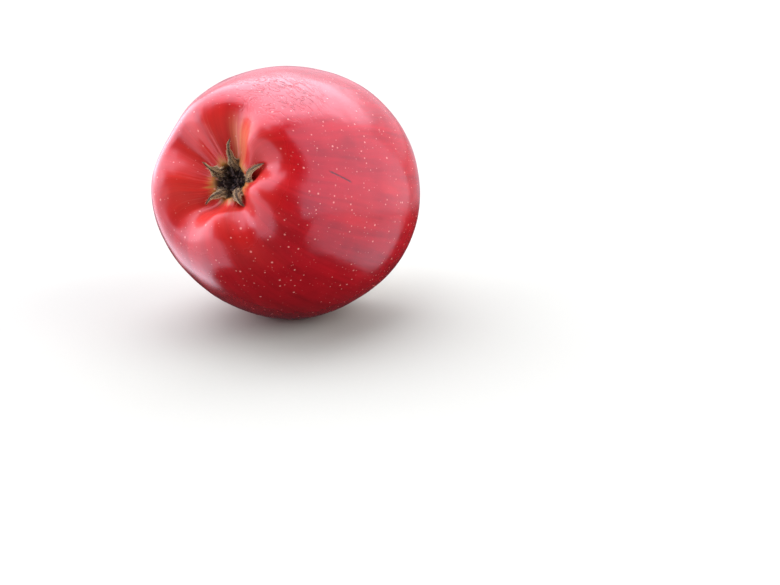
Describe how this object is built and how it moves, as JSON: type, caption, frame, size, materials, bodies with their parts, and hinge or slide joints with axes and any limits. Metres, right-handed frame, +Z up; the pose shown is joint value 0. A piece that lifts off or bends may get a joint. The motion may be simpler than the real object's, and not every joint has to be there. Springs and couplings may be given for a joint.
{
  "type": "apple",
  "caption": "Whole red apple lying on its side, with a waxy ribbed skin, a woody stem in its cavity and the dried flower in the calyx basin.",
  "frame": {"origin": "middle of the small flat spot that the apple rests on", "axes": "+Z up from the rest spot, -Y towards the side that the calyx faces, +Y towards the side of the stem; the core lies in the YZ plane and rises by 22 degrees towards the calyx"},
  "size_m": [0.0758, 0.0879, 0.077],
  "materials": {
    "skin": "waxy, semi-gloss",
    "stem_wood": "dry, matt",
    "sepal": "dry, downy",
    "stamen": "dry, matt"
  },
  "bodies": {
    "root": {"fruit": "skin", "stem": "stem_wood", "sepal_1": "sepal", "sepal_2": "sepal", "sepal_3": "sepal", "sepal_4": "sepal", "sepal_5": "sepal", "dried_stamens": "stamen"}
  },
  "joints": []
}
